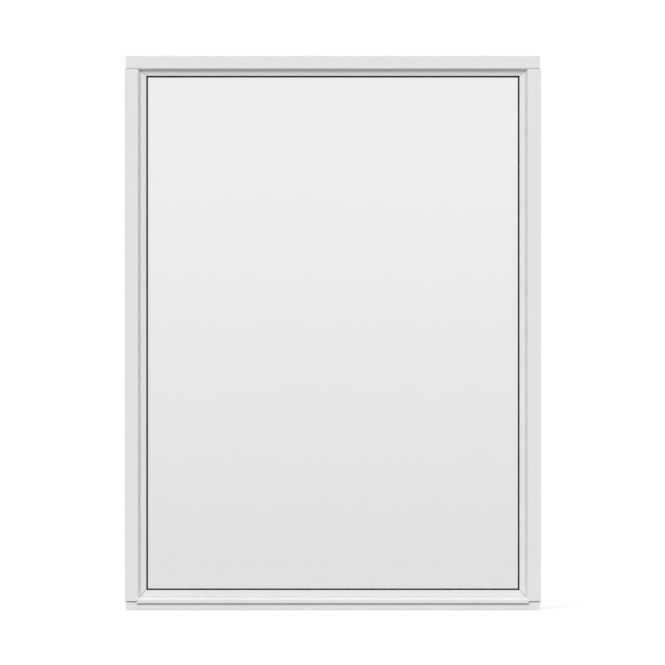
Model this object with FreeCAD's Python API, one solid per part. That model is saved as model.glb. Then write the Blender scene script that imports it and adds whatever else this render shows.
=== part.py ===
import FreeCAD, Part
import math
import os

from FreeCAD import Vector

# A fixed picture window: a painted timber frame, aluminium outside, with a sealed triple glazing
# unit held in from the outside by mitred beads. Sizes are in millimetres.
# Frame: X to the right seen from outside, Y from outside to inside, Z up from the sill's underside.

# The whole frame
FRAME_W = 888.0
FRAME_H = 1188.0
FRAME_D = 115.0
SIGHT = 46.3
SIDE_SIGHT = 47.5
ROOM_SIGHT = 44.4

# Aluminium cladding on the outside of the timber
SKIN = 1.8
FACE = 26.2
HEAD_FACE = 27.2
BEVEL_IN = 5.0
BEVEL_BACK = 7.6
AIR_GAP = 6.6
WRAP = 12.0
JOINT = 0.7
SILL_STEP = 2.8
SILL_FACE = 18.3
SILL_LIFT = 0.3
FOLD = 1.0
CREASE = 0.5

# Glazing unit
PANE = 4.0
CAVITY = 14.0
GLASS_BACK = 22.0
EDGE_ROOM = 5.0
SEAL = 3.0
SPACER = 6.5
BLOCK_L = 100.0

# Beads and gaskets
FIT = 0.3
BEAD_BACK = 10.8
BEAD_SLOPE = 12.0
LOW_BEAD_SLOPE = 0.5
MITRE = 0.6
GASKET = 5.0
GASKET_SHOW = 3.4
LIP_ROUND = 0.6
TAPE = 3.0
TAPE_SHOW = 1.0

# Sill and the drip rail on it
LEDGE_TOP = 28.2
LEDGE_BACK = 8.4
WEATHERING = 3.2
NOSE_OUT = 2.2
NOSE_H = 7.3
NOSE_TOP = 22.4
NOSE_ROUND = 0.8
NOSE_OVER = 0.5
LIP = 4.5
CAP = 1.5

# Timber
EASED = 3.0
HAIRLINE = 0.3

# Holes for the frame screws, through the jambs
SCREW_HOLE = 14.0
SCREW_END = 200.0

# What follows from them
FACE_Y = -FRAME_D / 2
TIMBER_FRONT = SKIN + AIR_GAP
BEVEL_END = FACE + BEVEL_IN
REBATE = BEVEL_END - SKIN
UNIT_D = 3 * PANE + 2 * CAVITY
STOP = GLASS_BACK + UNIT_D + TAPE
GLASS_EDGE = REBATE + EDGE_ROOM
BEAD_OUT = BEVEL_END + FIT
BEAD_RUN = (SIGHT - BEAD_OUT) / (SIDE_SIGHT - BEAD_OUT)
BEAD_FOOT = GLASS_BACK - GASKET
SPACER_OUT = GLASS_EDGE + SEAL
LEDGE_END = GLASS_BACK + SKIN
SILL_TOP = SILL_LIFT + SILL_FACE
FAR = FRAME_W


def placed(side, start):
    """How a section point goes on one side: u is the way in from the frame's edge, d the way back."""
    spots = {
        "left": lambda p: Vector(p.x - FRAME_W / 2, FACE_Y + p.y, start),
        "right": lambda p: Vector(FRAME_W / 2 - p.x, FACE_Y + p.y, start),
        "head": lambda p: Vector(start, FACE_Y + p.y, FRAME_H - p.x),
        "sill": lambda p: Vector(start, FACE_Y + p.y, p.x),
    }
    return spots[side]


def rounded(corners):
    """For each corner (u, d, r): where its rounding starts, its middle and where it stops."""
    turns = []
    for i, (u, d, r) in enumerate(corners):
        here = Vector(u, d, 0)
        if r == 0:
            turns.append((here, here, here, 0))
            continue
        back = Vector(*corners[i - 1][:2], 0) - here
        ahead = Vector(*corners[(i + 1) % len(corners)][:2], 0) - here
        back.normalize()
        ahead.normalize()
        half = back.getAngle(ahead) / 2
        reach = r / math.tan(half)
        inward = back + ahead
        inward.normalize()
        middle = here + inward * (r / math.sin(half) - r)
        turns.append((here + back * reach, middle, here + ahead * reach, r))
    return turns


def section(corners, place):
    """A flat face with these corners (u, d, r)."""
    turns = rounded(corners)
    edges = []
    for i, (start, middle, stop, r) in enumerate(turns):
        if r > 0:
            edges.append(Part.Arc(place(start), place(middle), place(stop)).toShape())
        onward = turns[(i + 1) % len(turns)][0]
        edges.append(Part.makeLine(place(stop), place(onward)))
    return Part.Face(Part.Wire(edges))


def bar(corners, side, start, stop):
    """A straight bar of this section along one side of the frame."""
    upright = side in ("left", "right")
    along = Vector(0, 0, stop - start) if upright else Vector(stop - start, 0, 0)
    return section(corners, placed(side, start)).extrude(along)


def bent(path, thick):
    """The section of a sheet bent along path (u, d, r), which is its outer face."""
    inner = []
    last = len(path) - 1
    for i, (u, d, r) in enumerate(path):
        here = Vector(u, d, 0)
        came = here - Vector(*path[max(i - 1, 0)][:2], 0)
        goes = Vector(*path[min(i + 1, last)][:2], 0) - here
        sides = [Vector(-way.y, way.x, 0).normalize() for way in (came, goes) if way.Length > 0]
        middle = sides[0] + sides[-1]
        middle.normalize()
        spot = here + middle * (thick / middle.dot(sides[0]))
        inner.append((spot.x, spot.y, max(r - thick, 0)))
    return path + inner[::-1]


def prism(points):
    """A block right through the window, with this outline (x, z) seen from outside."""
    near = [Vector(x, FACE_Y - FRAME_D, z) for x, z in points]
    return Part.Face(Part.makePolygon(near + near[:1])).extrude(Vector(0, 3 * FRAME_D, 0))


def quarter(side, run, gap):
    """The part of the window that belongs to one side, with half the gap left at each mitre.

    The mitres start where the beads' outer edges meet, and run is their rise for each step inwards.
    """
    half = FRAME_W / 2
    out = gap / math.sqrt(2)
    low = BEAD_OUT * (1 - run)
    high = BEAD_OUT + (half - BEAD_OUT) * run
    head_line = [(half, FRAME_H - low), (0, FRAME_H - high), (-half, FRAME_H - low)]
    sill_line = [(half, low), (0, high), (-half, low)]
    outlines = {
        "left": head_line[1:] + sill_line[:0:-1],
        "right": head_line[:2] + sill_line[1::-1],
        "head": head_line + [(-half, FRAME_H + FAR), (half, FRAME_H + FAR)],
        "sill": sill_line + [(-half, -FAR), (half, -FAR)],
    }
    moves = {
        "left": Vector(-out, 0, 0),
        "right": Vector(out, 0, 0),
        "head": Vector(0, 0, out),
        "sill": Vector(0, 0, -out),
    }
    return prism(outlines[side]).translate(moves[side])


def mitred(corners, side, run, gap=0.0):
    """A bar along one side, mitred at both ends."""
    start = 0 if side in ("left", "right") else -FRAME_W / 2
    stop = FRAME_H if side in ("left", "right") else FRAME_W / 2
    return bar(corners, side, start, stop).common(quarter(side, run, gap)).Solids[0]


def loop(level, upright, run):
    """One continuous strip round all four sides, with these sections on level and upright ones."""
    sides = [mitred(level, side, run) for side in ("head", "sill")]
    sides += [mitred(upright, side, run) for side in ("left", "right")]
    return sides[0].multiFuse(sides[1:]).removeSplitter().Solids[0]


def sheet(edge, back, thick):
    """A flat block whose edge lies this far in from the frame's edge on all four sides."""
    corner = Vector(edge - FRAME_W / 2, FACE_Y + back, edge)
    return Part.makeBox(FRAME_W - 2 * edge, thick, FRAME_H - 2 * edge, corner)


def timber(edge, front):
    """Timber section: a rebate open to the outside with this front, and the stop on the room side."""
    return [
        (edge, TIMBER_FRONT, 0),
        *front,
        (REBATE, STOP, 0),
        (ROOM_SIGHT, STOP, 0),
        (ROOM_SIGHT, FRAME_D, EASED),
        (edge, FRAME_D, 0),
    ]


def cladding(edge, face):
    """Cladding section: a channel with a flat face and a bevel towards the glass."""
    back = TIMBER_FRONT + WRAP
    return bent(
        [
            (edge - SKIN, back, 0),
            (edge - SKIN, 0, FOLD),
            (face, 0, CREASE),
            (BEVEL_END, BEVEL_BACK, CREASE),
            (BEVEL_END, back, 0),
        ],
        SKIN,
    )


def closed_ends(shape, side, outline):
    """A level piece of cladding with a flap of this outline folded over each open end."""
    for way in (-1, 1):
        end = way * FRAME_W / 2
        shape = shape.fuse(bar(outline, side, end - way * SKIN, end))
    return shape.removeSplitter().Solids[0]


def bead(out, sight, slope):
    """Bead section: a sloping face, a leg on what frames it and a foot on the gasket."""
    inner = sight - GASKET_SHOW
    front = BEAD_BACK - (inner - out) * math.tan(math.radians(slope))
    return bent(
        [
            (out, BEAD_FOOT, 0),
            (out, front, CREASE),
            (inner, BEAD_BACK, FOLD),
            (inner, BEAD_FOOT, 0),
            (SPACER_OUT, BEAD_FOOT, 0),
        ],
        SKIN,
    )


def outside_gasket(sight):
    """Gasket section between the bead's foot and the glass, with a lip that shows."""
    inner = sight - GASKET_SHOW
    return [
        (SPACER_OUT, BEAD_FOOT, 0),
        (inner, BEAD_FOOT, 0),
        (inner, BEAD_FOOT - SKIN, 0),
        (inner + GASKET_SHOW / 2, BEAD_FOOT - SKIN, LIP_ROUND),
        (sight, GLASS_BACK, 0),
        (SPACER_OUT, GLASS_BACK, 0),
    ]


def inside_gasket():
    """Gasket section between the glass and the stop, with a thin edge that shows in the room."""
    front = GLASS_BACK + UNIT_D
    return [
        (SPACER_OUT, front, 0),
        (ROOM_SIGHT + TAPE_SHOW, front, 0),
        (ROOM_SIGHT, STOP, 0),
        (SPACER_OUT, STOP, 0),
    ]


def drip_rail():
    """The rail under the bottom bead: a plate on the sill, a ledge, a nose with a lip, and a leg."""
    nose = [
        (NOSE_TOP - NOSE_H, LIP - NOSE_OUT, 0),
        (NOSE_TOP - NOSE_H, -NOSE_OUT, NOSE_ROUND),
        (NOSE_TOP, -NOSE_OUT, NOSE_ROUND),
        (LEDGE_TOP, LEDGE_BACK, FOLD),
        (LEDGE_TOP, LEDGE_END, 0),
    ]
    leg = [
        (SILL_TOP, TIMBER_FRONT - FIT - SKIN, 0),
        (LEDGE_TOP - SKIN / 2, TIMBER_FRONT - FIT - SKIN, 0),
        (LEDGE_TOP - SKIN / 2, TIMBER_FRONT - FIT, 0),
        (SILL_TOP, TIMBER_FRONT - FIT, 0),
    ]
    reach = FRAME_W / 2 - FACE + NOSE_OVER
    rail = bar(bent(nose, SKIN), "sill", -reach, reach)
    rail = rail.fuse(bar(leg, "sill", -reach, reach)).removeSplitter()
    return between_jambs(rail)


def drip_cap(side):
    """The cap that closes one end of the nose, in front of the jamb, with its outer edge chamfered."""
    way = -1 if side == "left" else 1
    near = way * (FRAME_W / 2 - FACE + NOSE_OVER)
    end = [
        (NOSE_TOP - NOSE_H, -FIT, 0),
        (NOSE_TOP - NOSE_H, -NOSE_OUT, NOSE_ROUND),
        (NOSE_TOP, -NOSE_OUT, NOSE_ROUND),
        (NOSE_TOP + NOSE_OUT / 2, -FIT, 0),
    ]
    return bar(end, "sill", near, near + way * CAP)


def jamb_room():
    """The room that a jamb's cladding takes, with a clearance, for what is fitted between the jambs."""
    return [
        (-FRAME_D, -FIT, 0),
        (FACE, -FIT, 0),
        (BEVEL_END + FIT, BEVEL_BACK - FIT, 0),
        (BEVEL_END + FIT, FRAME_D, 0),
        (-FRAME_D, FRAME_D, 0),
    ]


def between_jambs(shape):
    """The part of a shape that fits between the jambs' claddings."""
    for side in ("left", "right"):
        shape = shape.cut(bar(jamb_room(), side, 0, FRAME_H))
    return shape.Solids[0]


def corner_zone(side):
    """Where a side's cladding may be: the head runs through, and the bevels meet in mitres under it."""
    half = FRAME_W / 2
    inner = half - FACE
    line = FRAME_H - HEAD_FACE
    drop = inner * (BEVEL_END - HEAD_FACE) / BEVEL_IN
    if side == "head":
        return prism(
            [
                (-FAR, FRAME_H + FAR),
                (FAR, FRAME_H + FAR),
                (FAR, line),
                (inner, line),
                (0, line - drop),
                (-inner, line),
                (-FAR, line),
            ]
        )
    way = -1 if side == "left" else 1
    top = line - JOINT
    return prism(
        [
            (way * FAR, SILL_TOP + JOINT),
            (way * FAR, top),
            (way * inner, top),
            (0, top - drop),
            (0, SILL_TOP + JOINT),
        ]
    )


def screw_holes(side):
    """The two holes through a jamb for the screws that fasten the frame to the wall."""
    way = -1 if side == "left" else 1
    y = FACE_Y + (STOP + FRAME_D) / 2
    start = way * (FRAME_W / 2 + SKIN)
    holes = [
        Part.makeCylinder(SCREW_HOLE / 2, 2 * SIGHT, Vector(start, y, z), Vector(-way, 0, 0))
        for z in (SCREW_END, FRAME_H - SCREW_END)
    ]
    return Part.makeCompound(holes)


half_w = FRAME_W / 2
pieces = {}

# Timber: the head and the sill run through, and the jambs are coped between them
plain_front = [(REBATE, TIMBER_FRONT, 0)]
ledge_seat = LEDGE_TOP - SKIN
weathered_front = [
    (ledge_seat - WEATHERING, TIMBER_FRONT, 0),
    (ledge_seat, LEDGE_END, 0),
    (REBATE, LEDGE_END, 0),
]
pieces["head"] = bar(timber(SKIN, plain_front), "head", -half_w, half_w)
pieces["sill"] = bar(timber(0, weathered_front), "sill", -half_w, half_w)
for side in ("left", "right"):
    jamb = bar(timber(0, plain_front), side, 0, FRAME_H - SKIN)
    jamb = jamb.cut(pieces["head"].translated(Vector(0, 0, -HAIRLINE)))
    jamb = jamb.cut(pieces["sill"].translated(Vector(0, 0, HAIRLINE)))
    jamb = max(jamb.Solids, key=lambda solid: solid.Volume)
    pieces[side + "_jamb"] = jamb.cut(screw_holes(side)).Solids[0]

# Aluminium cladding
head_clad = bar(cladding(SKIN, HEAD_FACE), "head", -half_w, half_w)
head_flap = [
    (0, TIMBER_FRONT, 0),
    (0, 0, FOLD),
    (HEAD_FACE, 0, CREASE),
    (HEAD_FACE, TIMBER_FRONT, 0),
]
head_clad = head_clad.common(corner_zone("head"))
head_clad = head_clad.cut(pieces["left_jamb"]).cut(pieces["right_jamb"]).Solids[0]
pieces["head_cladding"] = closed_ends(head_clad, "head", head_flap)
sill_notch = Part.makeBox(
    FRAME_W,
    FRAME_D,
    REBATE + FIT,
    Vector(-half_w, FACE_Y + TIMBER_FRONT - FIT, 0),
)
for side in ("left", "right"):
    jamb_clad = bar(cladding(0, FACE), side, 0, FRAME_H).cut(sill_notch)
    pieces[side + "_jamb_cladding"] = jamb_clad.common(corner_zone(side)).Solids[0]
sill_path = [
    (SILL_LIFT, TIMBER_FRONT, 0),
    (SILL_LIFT, SILL_STEP, CREASE),
    (SILL_TOP, SILL_STEP, FOLD),
    (SILL_TOP, TIMBER_FRONT, 0),
]
sill_clad = bar(bent(sill_path, SKIN), "sill", -half_w, half_w)
pieces["sill_cladding"] = closed_ends(sill_clad, "sill", sill_path)
pieces["drip_rail"] = drip_rail()
for side in ("left", "right"):
    pieces[side + "_drip_cap"] = drip_cap(side)

# Beads and gaskets
pieces["top_bead"] = mitred(bead(BEAD_OUT, SIGHT, BEAD_SLOPE), "head", BEAD_RUN, MITRE)
side_bead = bead(BEAD_OUT, SIDE_SIGHT, BEAD_SLOPE)
for side in ("left", "right"):
    pieces[side + "_bead"] = mitred(side_bead, side, BEAD_RUN, MITRE)
low_bead = bead(LEDGE_TOP + FIT, SIGHT, LOW_BEAD_SLOPE)
pieces["bottom_bead"] = between_jambs(mitred(low_bead, "sill", BEAD_RUN, MITRE))
pieces["outside_gasket"] = loop(outside_gasket(SIGHT), outside_gasket(SIDE_SIGHT), BEAD_RUN)
pieces["inside_gasket"] = loop(inside_gasket(), inside_gasket(), 1)

# Glazing unit on its two setting blocks
step = PANE + CAVITY
for i, name in enumerate(("outer", "middle", "inner")):
    pieces[name + "_pane"] = sheet(GLASS_EDGE, GLASS_BACK + i * step, PANE)
for i, name in enumerate(("outer", "inner")):
    back = GLASS_BACK + PANE + i * step
    whole = sheet(SPACER_OUT, back, CAVITY)
    pieces[name + "_spacer"] = whole.cut(sheet(SPACER_OUT + SPACER, back, CAVITY)).Solids[0]
blocks = []
for x in (-FRAME_W / 4, FRAME_W / 4):
    corner = Vector(x - BLOCK_L / 2, FACE_Y + LEDGE_END + FIT, REBATE)
    blocks.append(Part.makeBox(BLOCK_L, STOP - LEDGE_END - 2 * FIT, EDGE_ROOM, corner))
pieces["setting_blocks"] = Part.makeCompound(blocks)

os.makedirs("parts", exist_ok=True)
for name, shape in pieces.items():
    shape.exportStep("parts/" + name + ".step")
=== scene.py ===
import math

import bmesh
import bpy
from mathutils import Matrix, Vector


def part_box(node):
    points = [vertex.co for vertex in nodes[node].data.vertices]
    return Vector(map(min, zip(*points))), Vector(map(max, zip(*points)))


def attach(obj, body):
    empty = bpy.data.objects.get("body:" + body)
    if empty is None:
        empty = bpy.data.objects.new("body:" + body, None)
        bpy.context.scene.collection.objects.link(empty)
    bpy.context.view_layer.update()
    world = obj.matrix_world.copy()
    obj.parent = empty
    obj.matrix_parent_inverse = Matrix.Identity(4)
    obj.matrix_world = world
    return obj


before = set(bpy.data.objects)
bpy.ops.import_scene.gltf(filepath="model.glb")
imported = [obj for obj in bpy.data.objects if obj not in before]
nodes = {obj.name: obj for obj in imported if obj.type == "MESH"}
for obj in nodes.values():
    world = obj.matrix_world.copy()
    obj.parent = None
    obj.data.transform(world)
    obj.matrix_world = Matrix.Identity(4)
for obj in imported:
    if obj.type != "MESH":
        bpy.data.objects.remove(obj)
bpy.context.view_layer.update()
scene = bpy.context.scene

# Pieces that share a finish
CLADDING = ("head_cladding", "left_jamb_cladding", "right_jamb_cladding", "sill_cladding", "drip_rail")
BEADS = ("top_bead", "left_bead", "right_bead", "bottom_bead")
LEVEL_TIMBER = ("head", "sill")
UPRIGHT_TIMBER = ("left_jamb", "right_jamb")
CAPS = ("left_drip_cap", "right_drip_cap")
GASKETS = ("outside_gasket", "inside_gasket")
SPACERS = ("outer_spacer", "inner_spacer")
PANES = ("outer_pane", "middle_pane", "inner_pane")

# Colours, in linear light
WHITE = (1.0, 1.0, 1.0)
WHITE_COAT = (0.80, 0.80, 0.785)
WHITE_PAINT = (0.80, 0.80, 0.78)
WHITE_CAP = (0.78, 0.78, 0.765)
RUBBER = (0.006, 0.006, 0.0065)
SPACER = (0.035, 0.036, 0.038)
# The spacers' hole colour is painted shade, standing for the depth inside each hole, which is not modelled.
SPACER_HOLE_SHADE = (0.004, 0.004, 0.004)
BLOCK = (0.06, 0.16, 0.38)
GLASS = (0.966, 0.968, 0.966)
ZINC = (0.58, 0.58, 0.56)
FLOOR = (0.45, 0.45, 0.45)

# Noise: how much detail it has, and the values that most of it lies between
SMOOTH = 1
MIXED = 2
CLOUDY = 3
NOISE_LOW = 0.3
NOISE_HIGH = 0.7

# In the finishes below, a scale is in waves per metre, tones are shares of the colour from dark to light,
# roughness goes from the smoothest places to the roughest, and a depth is in metres.

# Powder coat: faint clouds in its tone, orange peel, and the finer grain of the powder
COAT_TONE_SCALE = 6
COAT_TONES = (0.985, 1.015)
COAT_ROUGH_SCALE = 25
COAT_ROUGH = (0.40, 0.48)
PEEL_SCALE = 420
POWDER_SCALE = 1900
POWDER_ROUGH = (0, 0.06)
POWDER_SHARE = 0.35
COAT_DEPTH = 0.0002
COAT_BUMP = 0.55

# Painted timber: coarse and fine fibres, drawn out along the piece
PAINT_TONES = (0.97, 1.01)
PAINT_ROUGH_SCALE = 40
PAINT_ROUGH = (0.52, 0.66)
FIBRE_SCALE = 130
FIBRE_RISE = (0, 1)
FINE_FIBRE_SCALE = 700
FINE_FIBRE_RISE = (0, 0.4)
FIBRE_STRETCH = 0.02
PAINT_DEPTH = 0.0001
PAINT_BUMP = 0.35

# Growth rings at the ends of the timber. A wave texture makes WAVES_PER_SCALE waves per unit of its scale.
RINGS_PER_M = 280
WAVES_PER_SCALE = 20 / (2 * math.pi)
RING_RISE = 0.5
RING_WOBBLE = 2
RING_WOBBLE_SCALE = 1.5
HEART_BELOW = 0.03
HEART_DEPTH_SHARE = 0.4
END_FACING = 0.7

# Eased edges of the timber head and sill, in metres. The jambs keep sharp edges, because their scribed ends
# run out to nothing.
EASED_EDGE = 0.0008
EDGE_STEPS = 2
SHARP_DEG = 40
FLAT_DEG = 1
WELD = 0.00001

# Joint lines across the room face, where the jambs' ends run out, in metres, and their share of the colour
JOINT_LINE = 0.0004
JOINT_TONE = 0.4
ROOM_FACING = 0.9

# Rubber and plastic: a fine skin
PLASTIC_TONE_SCALE = 40
PLASTIC_TONES = (0.9, 1.1)
PLASTIC_ROUGH_SCALE = 300
PLASTIC_SKIN_SCALE = 900
PLASTIC_DEPTH = 0.0002
PLASTIC_BUMP = 0.15
PLASTIC_SHINE = 0.5
CAP_ROUGH = (0.4, 0.5)
BLOCK_ROUGH = (0.5, 0.6)
RUBBER_ROUGH = (0.6, 0.75)
RUBBER_SHINE = 0.12

# Spacers, with holes that let the drying agent breathe. The holes are painted near-black as shade inside
# them.
SPACER_SKIN_SCALE = 500
SPACER_TONES = (0.92, 1.08)
SPACER_ROUGH = (0.52, 0.58)
SPACER_SKIN_SHARE = 0.1
UPRIGHT_FACING = 0.5
HOLE_PITCH = 0.005
HOLE_R = 0.0007
HOLE_DEPTH = 0.0005
HOLE_BUMP = 0.5

# Zinc plate
ZINC_CLOUD_SCALE = 350
ZINC_TONES = (0.85, 1.1)
ZINC_ROUGH = (0.26, 0.42)
ZINC_SKIN_SCALE = 2500
ZINC_DEPTH = 0.0001
ZINC_BUMP = 0.2

# Glass. GLASS_PASS is the share, beside its tint, that it lets through of light that goes straight on.
GLASS_TONE_SCALE = 3
GLASS_TONES = (0.998, 1.002)
GLASS_IOR = 1.5
GLASS_PASS = 0.98

# Screws that hold the head to the jambs, at these shares of the jambs' depth. The dome's outline is given in
# shares of the radius and of the rise, from the rim to the flat crown.
SCREW_DEPTHS = (0.3, 0.75)
SCREW_R = 0.005
SCREW_RISE = 0.0014
SCREW_SUNK = 0.0003
SCREW_DOME = ((1, 0.4), (0.88, 0.85), (0.65, 1))
RECESS_R = 0.0023
RECESS_TAPER = 0.92
RECESS_DEPTH = 0.001
STAR_POINTS = 6
STAR_WAVE = 0.16
RING_STEPS = 48

# Camera: a very long lens, so that nothing behind the glass peeps out beside the gasket
CAMERA_AWAY = 30.0
LENS = 758.0
SENSOR = 36.0
CAMERA_X = -0.0009
CAMERA_Z = 0.5951

# Light: a soft lamp above the camera and to its left, a weaker one behind the window, and an even room
KEY_HEIGHT_DEG = 43
KEY_LEFT_DEG = 11
KEY_WIDE_DEG = 20
KEY_POWER = 2.12
FILL_HEIGHT_DEG = 15
FILL_LEFT_DEG = 200
FILL_WIDE_DEG = 40
FILL_POWER = 1.7
ROOM_LIGHT = 0.45

# Floor: its size in metres, and light of its own, to be white to look at and as bright as the room in glass
FLOOR_SIZE = 12
FLOOR_WHITE = 0.60
FLOOR_IN_GLASS = 0.355

# The room as glass and gloss show it. It brightens from the camera's line of sight through the lower of
# these heights on the window to that through the upper one.
ROOM_LOW = 0.83
ROOM_HIGH = 0.94
DARKEST_AT = 0.13
BRIGHTEST_AT = 0.97


def new_material(name):
    """A new material with its node tree and its main shader."""
    mat = bpy.data.materials.new(name)
    mat.use_nodes = True
    return mat, mat.node_tree, mat.node_tree.nodes["Principled BSDF"]


def set_input(tree, socket, value):
    """Links an input to another node's output, or sets it to a plain value."""
    if isinstance(value, bpy.types.NodeSocket):
        tree.links.new(value, socket)
    else:
        socket.default_value = value


def set_inputs(tree, node, **values):
    """Links or sets a node's inputs by name."""
    for name, value in values.items():
        set_input(tree, node.inputs[name.replace("_", " ")], value)


def add(tree, kind, **values):
    """A new node, with its inputs given by name."""
    node = tree.nodes.new("ShaderNode" + kind)
    set_inputs(tree, node, **values)
    return node


def maths(tree, operation, *values):
    """One sum on numbers, each a socket or a plain number."""
    node = add(tree, "Math")
    node.operation = operation
    for socket, value in zip(node.inputs, values):
        set_input(tree, socket, value)
    return node.outputs["Value"]


def axes(tree, kind, output):
    """The three parts of a vector that a node gives."""
    source = add(tree, kind)
    return add(tree, "SeparateXYZ", Vector=source.outputs[output]).outputs


def grain(tree, scale, detail, stretch=(1, 1, 1)):
    """Noise fixed to the object, in waves per metre, stretched along an axis whose share is under 1."""
    place = add(tree, "TexCoord")
    mapping = add(tree, "Mapping", Vector=place.outputs["Object"], Scale=stretch)
    return add(tree, "TexNoise", Vector=mapping.outputs["Vector"], Scale=scale, Detail=detail).outputs["Fac"]


def between(tree, noise, low, high):
    """A number that runs from low to high as the noise runs over its usual range."""
    ends = {"From_Min": NOISE_LOW, "From_Max": NOISE_HIGH, "To_Min": low, "To_Max": high}
    return add(tree, "MapRange", Value=noise, **ends).outputs["Result"]


def either(tree, factor, first, second):
    """The first number where the factor is 0, and the second where it is 1."""
    return add(tree, "Mix", Factor=factor, A=first, B=second).outputs["Result"]


def opaque(colour):
    """A colour with full alpha, as colour sockets take it."""
    return (*colour, 1)


def shade(colour, share):
    """A colour made lighter or darker."""
    return tuple(part * share for part in colour)


def blend(tree, factor, first, second):
    """A colour between two sockets or plain colours, by the factor."""
    node = add(tree, "Mix")
    node.data_type = "RGBA"
    set_inputs(tree, node, Factor=factor, A=first, B=second)
    return node.outputs["Result"]


def toned(tree, factor, colour, tones):
    """The colour, from its dark tone to its light one as the factor rises."""
    dark, light = tones
    return blend(tree, factor, opaque(shade(colour, dark)), opaque(shade(colour, light)))


def raised(tree, height, depth, strength):
    """The normal of a surface with this relief."""
    return add(tree, "Bump", Height=height, Distance=depth, Strength=strength).outputs["Normal"]


def either_shader(tree, factor, first, second):
    """The first shader where the factor is 0, and the second where it is 1."""
    mix = add(tree, "MixShader", Fac=factor)
    tree.links.new(first, mix.inputs[1])
    tree.links.new(second, mix.inputs[2])
    return mix.outputs["Shader"]


def powder_coat(name, colour):
    """Satin powder coat on aluminium: an even white with orange peel, glossier in some places."""
    mat, tree, shader = new_material(name)
    tone = toned(tree, grain(tree, COAT_TONE_SCALE, CLOUDY), colour, COAT_TONES)
    peel = grain(tree, PEEL_SCALE, SMOOTH)
    powder = grain(tree, POWDER_SCALE, SMOOTH)
    broad = between(tree, grain(tree, COAT_ROUGH_SCALE, CLOUDY), *COAT_ROUGH)
    rough = maths(tree, "ADD", broad, between(tree, powder, *POWDER_ROUGH))
    skin = maths(tree, "ADD", peel, maths(tree, "MULTIPLY", powder, POWDER_SHARE))
    relief = raised(tree, skin, COAT_DEPTH, COAT_BUMP)
    set_inputs(tree, shader, Base_Color=tone, Roughness=rough, Normal=relief)
    return mat


def growth_rings(tree, along, box):
    """Growth rings as sawn ends show them, round a heart below a level piece or at an upright one's edge."""
    place = add(tree, "TexCoord")
    size = box[1] - box[0]
    heart = (0, -HEART_DEPTH_SHARE * size.y, HEART_BELOW)
    mapping = add(tree, "Mapping", Vector=place.outputs["Generated"], Scale=size, Location=heart)
    rings = add(tree, "TexWave", Vector=mapping.outputs["Vector"], Scale=RINGS_PER_M / WAVES_PER_SCALE)
    set_inputs(tree, rings, Distortion=RING_WOBBLE, Detail=MIXED, Detail_Scale=RING_WOBBLE_SCALE)
    rings.wave_type = "RINGS"
    rings.rings_direction = along
    return rings.outputs["Fac"]


def joint_lines(tree, name):
    """1 on a fine line across the room face where an upright piece runs out at its ends, and 0 elsewhere."""
    room_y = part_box(name)[1].y
    ends = [point.co.z for point in nodes[name].data.vertices if point.co.y > room_y - WELD]
    height = axes(tree, "TexCoord", "Object")["Z"]
    low = maths(tree, "LESS_THAN", height, min(ends) + JOINT_LINE)
    high = maths(tree, "GREATER_THAN", height, max(ends) - JOINT_LINE)
    room = maths(tree, "GREATER_THAN", axes(tree, "NewGeometry", "Normal")["Y"], ROOM_FACING)
    return maths(tree, "MULTIPLY", maths(tree, "MAXIMUM", low, high), room)


def painted_timber(name, colour, along, like):
    """White paint on planed timber: fibres show faintly along pieces like this, and rings at their ends."""
    mat, tree, shader = new_material(name)
    stretch = [1.0, 1.0, 1.0]
    stretch["XYZ".index(along)] = FIBRE_STRETCH
    coarse = between(tree, grain(tree, FIBRE_SCALE, CLOUDY, stretch), *FIBRE_RISE)
    fine = between(tree, grain(tree, FINE_FIBRE_SCALE, MIXED, stretch), *FINE_FIBRE_RISE)
    fibres = maths(tree, "ADD", coarse, fine)
    rings = maths(tree, "MULTIPLY", growth_rings(tree, along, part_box(like)), RING_RISE)
    facing = maths(tree, "ABSOLUTE", axes(tree, "NewGeometry", "Normal")[along])
    height = either(tree, maths(tree, "GREATER_THAN", facing, END_FACING), fibres, rings)
    tone = toned(tree, height, colour, PAINT_TONES)
    if along == "Z":
        tone = blend(tree, joint_lines(tree, like), tone, opaque(shade(colour, JOINT_TONE)))
    rough = between(tree, grain(tree, PAINT_ROUGH_SCALE, CLOUDY), *PAINT_ROUGH)
    relief = raised(tree, height, PAINT_DEPTH, PAINT_BUMP)
    set_inputs(tree, shader, Base_Color=tone, Roughness=rough, Normal=relief)
    return mat


def plain_plastic(name, colour, roughness, shine):
    """Rubber or plastic with a slightly uneven, fine skin."""
    mat, tree, shader = new_material(name)
    tone = toned(tree, grain(tree, PLASTIC_TONE_SCALE, MIXED), colour, PLASTIC_TONES)
    rough = between(tree, grain(tree, PLASTIC_ROUGH_SCALE, MIXED), *roughness)
    relief = raised(tree, grain(tree, PLASTIC_SKIN_SCALE, SMOOTH), PLASTIC_DEPTH, PLASTIC_BUMP)
    set_inputs(tree, shader, Base_Color=tone, Roughness=rough, Specular_IOR_Level=shine, Normal=relief)
    return mat


def spacer_holes(tree, box):
    """1 in a row of small holes along the middle of a spacer as deep as this box, and 0 beside them."""
    spot = axes(tree, "TexCoord", "Object")
    depth_share = axes(tree, "TexCoord", "Generated")["Y"]
    sideways = maths(tree, "ABSOLUTE", axes(tree, "NewGeometry", "Normal")["X"])
    upright = maths(tree, "GREATER_THAN", sideways, UPRIGHT_FACING)
    along = maths(tree, "PINGPONG", either(tree, upright, spot["X"], spot["Z"]), HOLE_PITCH / 2)
    across = maths(tree, "MULTIPLY", maths(tree, "SUBTRACT", depth_share, 0.5), box[1].y - box[0].y)
    squares = maths(tree, "ADD", maths(tree, "POWER", along, 2), maths(tree, "POWER", across, 2))
    return maths(tree, "LESS_THAN", maths(tree, "SQRT", squares), HOLE_R)


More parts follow.
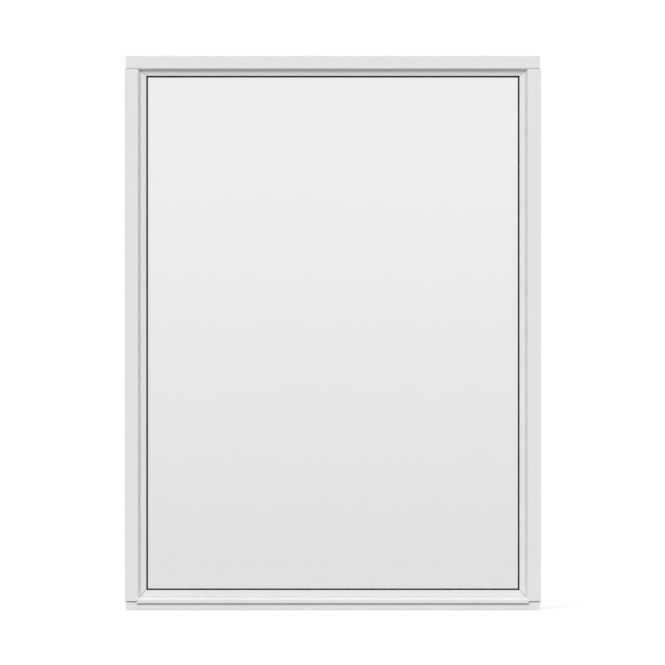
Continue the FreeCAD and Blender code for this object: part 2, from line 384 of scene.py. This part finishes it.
def perforated_spacer(name, colour, hole_shade):
    """Dark spacer between the panes, with fine holes painted near-black as the shade inside them."""
    mat, tree, shader = new_material(name)
    hole = spacer_holes(tree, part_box("outer_spacer"))
    skin = grain(tree, SPACER_SKIN_SCALE, MIXED)
    # The holes get painted shade: a near-black in place of the shade inside them.
    tone = blend(tree, hole, toned(tree, skin, colour, SPACER_TONES), opaque(hole_shade))
    rough = maths(tree, "MAXIMUM", between(tree, skin, *SPACER_ROUGH), hole)
    height = maths(tree, "SUBTRACT", maths(tree, "MULTIPLY", skin, SPACER_SKIN_SHARE), hole)
    relief = raised(tree, height, HOLE_DEPTH, HOLE_BUMP)
    set_inputs(tree, shader, Base_Color=tone, Roughness=rough, Normal=relief)
    return mat


def zinc_plate(name, colour):
    """Zinc-plated steel, with a slightly cloudy sheen."""
    mat, tree, shader = new_material(name)
    cloud = grain(tree, ZINC_CLOUD_SCALE, CLOUDY)
    tone = toned(tree, cloud, colour, ZINC_TONES)
    rough = between(tree, cloud, *ZINC_ROUGH)
    relief = raised(tree, grain(tree, ZINC_SKIN_SCALE, MIXED), ZINC_DEPTH, ZINC_BUMP)
    set_inputs(tree, shader, Base_Color=tone, Roughness=rough, Metallic=1.0, Normal=relief)
    return mat


def clear_glass(name, colour):
    """Flat float glass with a slightly uneven tint. Lamps and soft light go straight through it."""
    mat, tree, shader = new_material(name)
    tone = toned(tree, grain(tree, GLASS_TONE_SCALE, MIXED), colour, GLASS_TONES)
    set_inputs(tree, shader, Base_Color=tone, Roughness=0.0, IOR=GLASS_IOR, Transmission_Weight=1.0)
    through = add(tree, "BsdfTransparent", Color=opaque(shade(colour, GLASS_PASS)))
    path = add(tree, "LightPath")
    surface = shader.outputs["BSDF"]
    for ray in ("Is Diffuse Ray", "Is Shadow Ray"):
        surface = either_shader(tree, path.outputs[ray], surface, through.outputs["BSDF"])
    set_inputs(tree, tree.nodes["Material Output"], Surface=surface)
    return mat


def dress(mat, *names):
    """Gives CAD nodes this material."""
    for name in names:
        mesh = nodes[name].data
        mesh.materials.clear()
        mesh.materials.append(mat)


def dress_window():
    """Gives every CAD node its finish."""
    dress(powder_coat("white_powder_coat", WHITE_COAT), *CLADDING, *BEADS)
    dress(painted_timber("painted_timber_level", WHITE_PAINT, "X", "head"), *LEVEL_TIMBER)
    dress(painted_timber("painted_timber_upright", WHITE_PAINT, "Z", "left_jamb"), *UPRIGHT_TIMBER)
    dress(plain_plastic("black_rubber", RUBBER, RUBBER_ROUGH, RUBBER_SHINE), *GASKETS)
    dress(perforated_spacer("dark_spacer", SPACER, SPACER_HOLE_SHADE), *SPACERS)
    dress(plain_plastic("white_cap", WHITE_CAP, CAP_ROUGH, PLASTIC_SHINE), *CAPS)
    dress(plain_plastic("blue_block", BLOCK, BLOCK_ROUGH, PLASTIC_SHINE), "setting_blocks")
    dress(clear_glass("clear_glass", GLASS), *PANES)


def ease_edges(*names):
    """Rounds the sharp edges of CAD nodes a little, once the triangles of each flat face are joined."""
    for name in names:
        weld = nodes[name].modifiers.new("weld", "WELD")
        weld.merge_threshold = WELD
        flat = nodes[name].modifiers.new("flat_faces", "DECIMATE")
        flat.decimate_type = "DISSOLVE"
        flat.angle_limit = math.radians(FLAT_DEG)
        bevel = nodes[name].modifiers.new("eased_edges", "BEVEL")
        bevel.width = EASED_EDGE
        bevel.segments = EDGE_STEPS
        bevel.limit_method = "ANGLE"
        bevel.angle_limit = math.radians(SHARP_DEG)
        bevel.harden_normals = True


def ring(mesh, centre, radius, height, wave=0.0):
    """A ring of points, with a star's waves where asked."""
    points = []
    for step in range(RING_STEPS):
        turn = 2 * math.pi * step / RING_STEPS
        reach = radius * (1 + wave * math.cos(STAR_POINTS * turn))
        offset = Vector((reach * math.cos(turn), reach * math.sin(turn), height))
        points.append(mesh.verts.new(centre + offset))
    return points


def add_screw(mesh, centre):
    """A flat domed screw head with a star recess."""
    rings = [ring(mesh, centre, SCREW_R, -SCREW_SUNK)]
    for across, up in SCREW_DOME:
        rings.append(ring(mesh, centre, across * SCREW_R, up * SCREW_RISE))
    rings.append(ring(mesh, centre, RECESS_R, SCREW_RISE, STAR_WAVE))
    rings.append(ring(mesh, centre, RECESS_TAPER * RECESS_R, SCREW_RISE - RECESS_DEPTH, STAR_WAVE))
    mesh.faces.new(rings[0][::-1])
    for low, high in zip(rings, rings[1:]):
        for i in range(RING_STEPS):
            j = (i + 1) % RING_STEPS
            mesh.faces.new((low[i], low[j], high[j], high[i]))
    mesh.faces.new(rings[-1])


def build_screws():
    """The screws down through the head into the ends of the jambs."""
    mesh = bmesh.new()
    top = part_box("head")[1].z
    for jamb in UPRIGHT_TIMBER:
        low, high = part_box(jamb)
        for share in SCREW_DEPTHS:
            spot = Vector(((low.x + high.x) / 2, low.y + share * (high.y - low.y), top))
            add_screw(mesh, spot)
    data = bpy.data.meshes.new("corner_screws")
    mesh.to_mesh(data)
    mesh.free()
    data.materials.append(zinc_plate("zinc_plate", ZINC))
    screws = bpy.data.objects.new("corner_screws", data)
    scene.collection.objects.link(screws)
    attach(screws, "root")


def seen(tree):
    """Two sockets: 1 for what the camera sees straight, and 1 for what gloss or glass shows."""
    path = add(tree, "LightPath")
    shown = maths(tree, "MAXIMUM", path.outputs["Is Glossy Ray"], path.outputs["Is Transmission Ray"])
    return path.outputs["Is Camera Ray"], shown


def build_floor():
    """A pale floor that looks white and still takes the window's shadow."""
    bpy.ops.mesh.primitive_plane_add(size=FLOOR_SIZE)
    floor = bpy.context.object
    floor.name = "floor"
    mat, tree, shader = new_material("pale_floor")
    tree.nodes.remove(shader)
    straight, shown = seen(tree)
    to_look_at = maths(tree, "MULTIPLY", straight, FLOOR_WHITE)
    in_glass = maths(tree, "MULTIPLY", shown, FLOOR_IN_GLASS)
    matt = add(tree, "BsdfDiffuse", Color=opaque(FLOOR))
    lift = add(tree, "Emission", Strength=maths(tree, "ADD", to_look_at, in_glass))
    both = add(tree, "AddShader")
    tree.links.new(matt.outputs["BSDF"], both.inputs[0])
    tree.links.new(lift.outputs["Emission"], both.inputs[1])
    set_inputs(tree, tree.nodes["Material Output"], Surface=both.outputs["Shader"])
    floor.data.materials.append(mat)


def build_world():
    """An even room: white to look at, and in glass and gloss a little darker below than above."""
    world = bpy.data.worlds.new("room")
    world.use_nodes = True
    scene.world = world
    tree = world.node_tree
    white = tree.nodes["Background"]
    set_inputs(tree, white, Color=opaque(WHITE))
    even = add(tree, "Background", Color=opaque(WHITE), Strength=ROOM_LIGHT)
    rise = add(tree, "MapRange", Value=axes(tree, "TexCoord", "Generated")["Z"])
    set_inputs(tree, rise, From_Min=(DARKEST_AT - CAMERA_Z) / CAMERA_AWAY, To_Min=ROOM_LOW)
    set_inputs(tree, rise, From_Max=(BRIGHTEST_AT - CAMERA_Z) / CAMERA_AWAY, To_Max=ROOM_HIGH)
    graded = add(tree, "Background", Color=opaque(WHITE), Strength=rise.outputs["Result"])
    straight, shown = seen(tree)
    room = either_shader(tree, shown, even.outputs["Background"], graded.outputs["Background"])
    view = either_shader(tree, straight, room, white.outputs["Background"])
    set_inputs(tree, tree.nodes["World Output"], Surface=view)


def build_lamp(name, height, left, wide, power, glints):
    """A soft lamp with parallel rays, so that the floor is evenly lit. Angles are in degrees."""
    lamp = bpy.data.lights.new(name, "SUN")
    lamp.energy = power
    lamp.angle = math.radians(wide)
    holder = bpy.data.objects.new(name, lamp)
    holder.rotation_euler = (math.radians(90 - height), 0, math.radians(-left))
    holder.visible_glossy = glints
    holder.visible_transmission = False
    scene.collection.objects.link(holder)


def build_camera():
    """Straight before the window, at half its height."""
    data = bpy.data.cameras.new("camera")
    data.lens = LENS
    data.sensor_width = SENSOR
    holder = bpy.data.objects.new("camera", data)
    face_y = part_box("head_cladding")[0].y
    holder.location = (CAMERA_X, face_y - CAMERA_AWAY, CAMERA_Z)
    holder.rotation_euler = (math.radians(90), 0, 0)
    scene.collection.objects.link(holder)
    scene.camera = holder


dress_window()
ease_edges(*LEVEL_TIMBER)
build_screws()
build_floor()
build_world()
build_lamp("key", KEY_HEIGHT_DEG, KEY_LEFT_DEG, KEY_WIDE_DEG, KEY_POWER, glints=True)
build_lamp("fill", FILL_HEIGHT_DEG, FILL_LEFT_DEG, FILL_WIDE_DEG, FILL_POWER, glints=False)
build_camera()
scene.view_settings.view_transform = "Standard"
